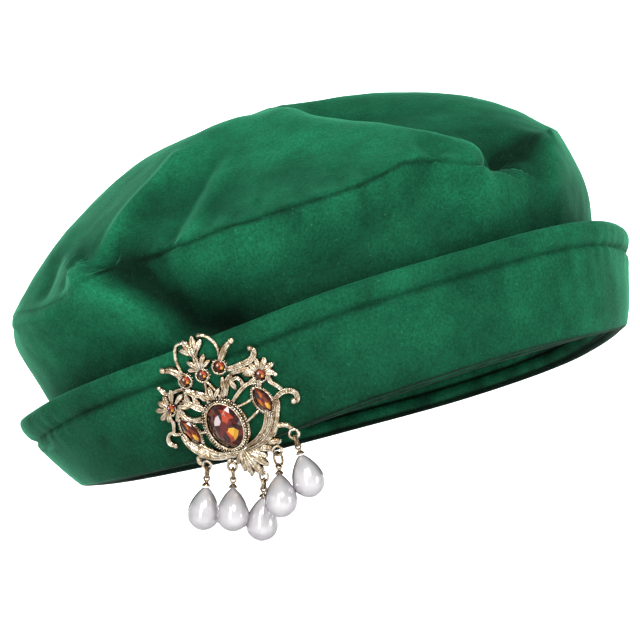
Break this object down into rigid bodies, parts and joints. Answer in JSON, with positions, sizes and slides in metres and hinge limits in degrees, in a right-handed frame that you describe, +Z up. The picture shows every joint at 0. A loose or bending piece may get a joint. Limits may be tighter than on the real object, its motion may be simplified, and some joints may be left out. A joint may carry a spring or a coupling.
{
  "type": "renaissance beret with a brooch",
  "caption": "Soft velvet beret with a turned-up brim, worn tilted, with an openwork brooch of faceted stones and pearl drops pinned to the side of its brim.",
  "frame": {"origin": "centre of the head opening, in the plane of the rim", "axes": "+Z up as the hat is worn, so the rim's plane rises by 15 degrees towards +X; the wearer faces -X and the brooch is on the -Y side"},
  "size_m": [0.2351, 0.198, 0.1728],
  "materials": {
    "velvet": "deep green velvet with a short brushed nap",
    "gold_metal": "cast metal with a pale antique gold plating, dark in its hollows",
    "stones": "foil-backed faceted glass in dark red and amber, opaque",
    "pearl": "off-white imitation pearl with a soft lustre"
  },
  "bodies": {
    "root": {"crown_top": "velvet", "crown_side": "velvet", "brim": "velvet", "headband": "velvet", "brooch_frame": "gold_metal", "brooch_pin": "gold_metal", "oval_stone": "stones", "marquise_stone_left": "stones", "marquise_stone_right": "stones", "round_stone_1": "stones", "round_stone_2": "stones", "round_stone_3": "stones", "round_stone_4": "stones", "round_stone_5": "stones", "drop_ring_1": "gold_metal", "pearl_cap_1": "gold_metal", "pearl_1": "pearl", "drop_ring_2": "gold_metal", "pearl_cap_2": "gold_metal", "pearl_2": "pearl", "drop_ring_3": "gold_metal", "pearl_cap_3": "gold_metal", "pearl_3": "pearl", "drop_ring_4": "gold_metal", "pearl_cap_4": "gold_metal", "pearl_4": "pearl", "drop_ring_5": "gold_metal", "pearl_cap_5": "gold_metal", "pearl_5": "pearl"}
  },
  "joints": []
}
